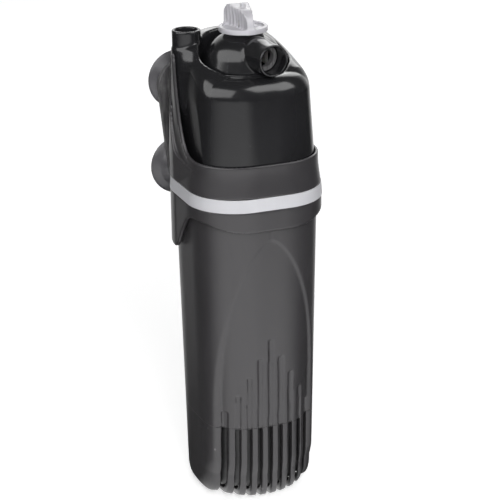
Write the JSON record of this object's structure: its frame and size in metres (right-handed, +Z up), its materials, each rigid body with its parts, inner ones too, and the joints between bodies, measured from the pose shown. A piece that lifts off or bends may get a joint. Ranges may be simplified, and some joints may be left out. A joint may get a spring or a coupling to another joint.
{
  "type": "submersible canister filter",
  "caption": "Upright submersible aquarium filter: motor head with swivelling outlet and flow knob on a sponge canister, hung on glass by a suction cup bracket.",
  "frame": {"origin": "on the glass plane, at the centre of the four suction cups", "axes": "+Z up, +Y from the tank into the glass, -Y the filter's front, +X to the right seen from the front"},
  "size_m": [0.0508, 0.062, 0.186],
  "materials": {
    "head_plastic": "polished black moulding",
    "body_plastic": "satin charcoal moulding",
    "ring_plastic": "satin light grey moulding",
    "clear_plastic": "cloudy translucent moulding",
    "bracket_plastic": "satin black moulding",
    "cup_rubber": "soft smoky grey, smooth",
    "seal_rubber": "smooth black",
    "inner_plastic": "dark grey moulding",
    "white_plastic": "natural white moulding",
    "shaft_steel": "ground stainless rod",
    "magnet": "sintered ferrite",
    "core_steel": "stacked laminations",
    "winding": "enamelled copper wire",
    "sponge": "open cell foam"
  },
  "bodies": {
    "bracket": {"bracket_plate": "bracket_plastic", "suction_cup_upper_left": "cup_rubber", "suction_cup_upper_right": "cup_rubber", "suction_cup_lower_left": "cup_rubber", "suction_cup_lower_right": "cup_rubber"},
    "head": {"motor_housing": "head_plastic", "collar": "body_plastic", "trim_ring": "ring_plastic", "cord_gland": "ring_plastic", "pump_housing": "inner_plastic", "impeller_cover": "inner_plastic", "lower_bushing": "seal_rubber", "upper_bushing": "seal_rubber", "rotor_shaft": "shaft_steel", "stator_core": "core_steel", "coil_bobbin": "white_plastic", "coil_winding": "winding"},
    "rotor": {"rotor_magnet": "magnet", "impeller": "white_plastic"},
    "outlet": {"outlet_dome": "head_plastic", "dome_seal": "seal_rubber", "venturi_jet": "inner_plastic"},
    "knob": {"flow_knob": "clear_plastic", "valve_spindle": "white_plastic", "flow_shutter": "white_plastic"},
    "canister": {"canister_shell": "body_plastic", "bottom_grille": "body_plastic", "canister_seal": "seal_rubber", "sponge_cartridge": "sponge"}
  },
  "joints": [
    {"name": "head_lift", "type": "slide", "parent": "bracket", "child": "head", "axis": [0, 0, 1], "range_m": [0, 0.03]},
    {"name": "canister_pull", "type": "slide", "parent": "head", "child": "canister", "axis": [0, 0, -1], "range_m": [0, 0.05]},
    {"name": "outlet_swivel", "type": "hinge", "parent": "head", "child": "outlet", "pos_m": [0, -0.0355, 0.028], "axis": [0, 0, 1], "range_deg": [-54, 36]},
    {"name": "knob_turn", "type": "hinge", "parent": "outlet", "child": "knob", "pos_m": [0, -0.0355, 0.045], "axis": [0, 0, 1], "range_deg": [-90, 0]},
    {"name": "impeller_spin", "type": "hinge", "parent": "head", "child": "rotor", "pos_m": [0, -0.0355, -0.01], "axis": [0, 0, 1], "continuous": true}
  ]
}
